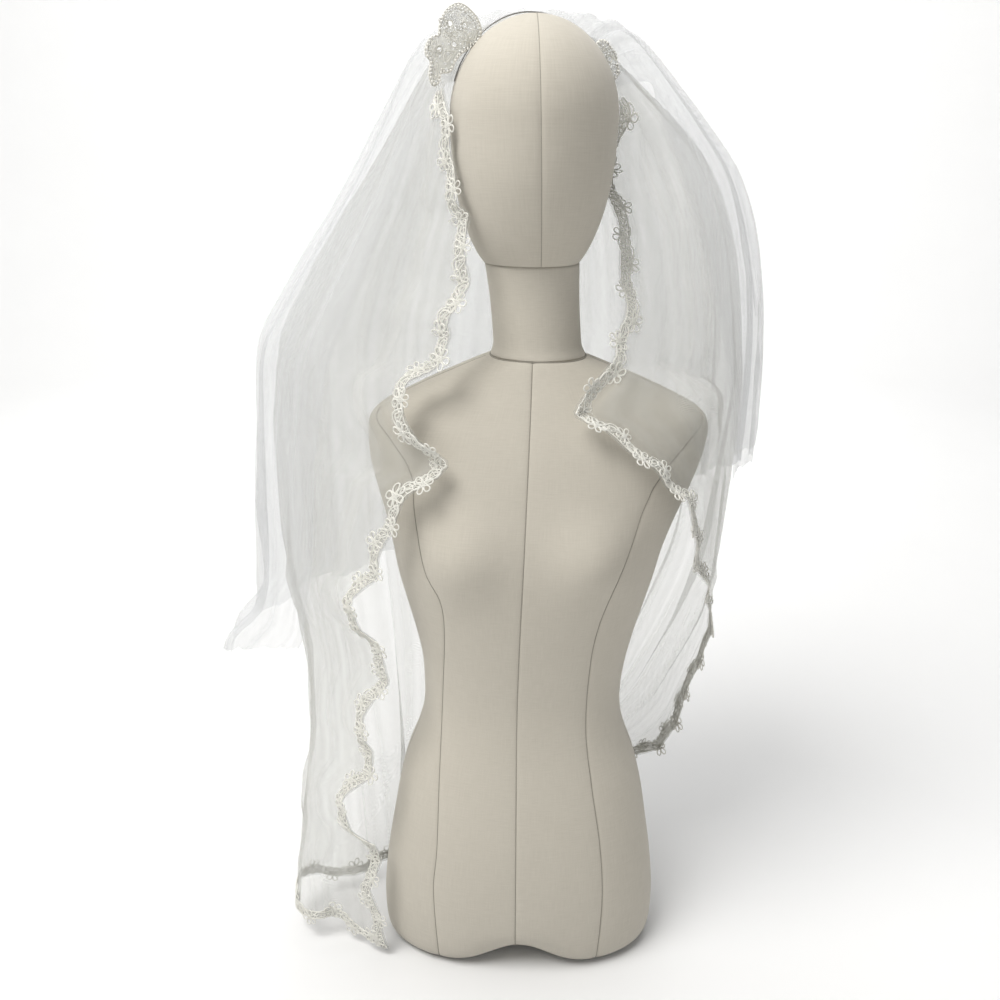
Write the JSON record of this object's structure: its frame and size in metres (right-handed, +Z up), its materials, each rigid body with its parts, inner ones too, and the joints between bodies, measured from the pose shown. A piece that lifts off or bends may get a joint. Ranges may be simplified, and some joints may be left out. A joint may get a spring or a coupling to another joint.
{
  "type": "bridal veil on a dress form",
  "caption": "Two-tier tulle bridal veil with corded lace edging on a thin headband with beaded lace, worn by a limbless linen dress form that stands on its flat bottom.",
  "frame": {"origin": "centre of the dress form's flat bottom, on the surface that it stands on", "axes": "+Z up to the head; the form faces -Y; +X is the viewer's right, looking at the form's front"},
  "size_m": [0.6005, 0.3553, 1.025],
  "materials": {
    "tulle": "fine sheer ivory-white tulle net, matt",
    "corded_lace": "ivory guipure lace with raised cord outlines, soft sheen",
    "band_wire": "thin silvery wire band",
    "linen": "natural ecru linen, fine plain weave, tightly stretched"
  },
  "bodies": {
    "root": {"plain_tier": "tulle", "long_tier": "tulle", "trim_left": "corded_lace", "trim_hem": "corded_lace", "trim_right": "corded_lace", "headband": "band_wire", "motif_left": "corded_lace", "motif_right": "corded_lace", "form_head": "linen", "form_neck": "linen", "form_torso": "linen"}
  },
  "joints": []
}
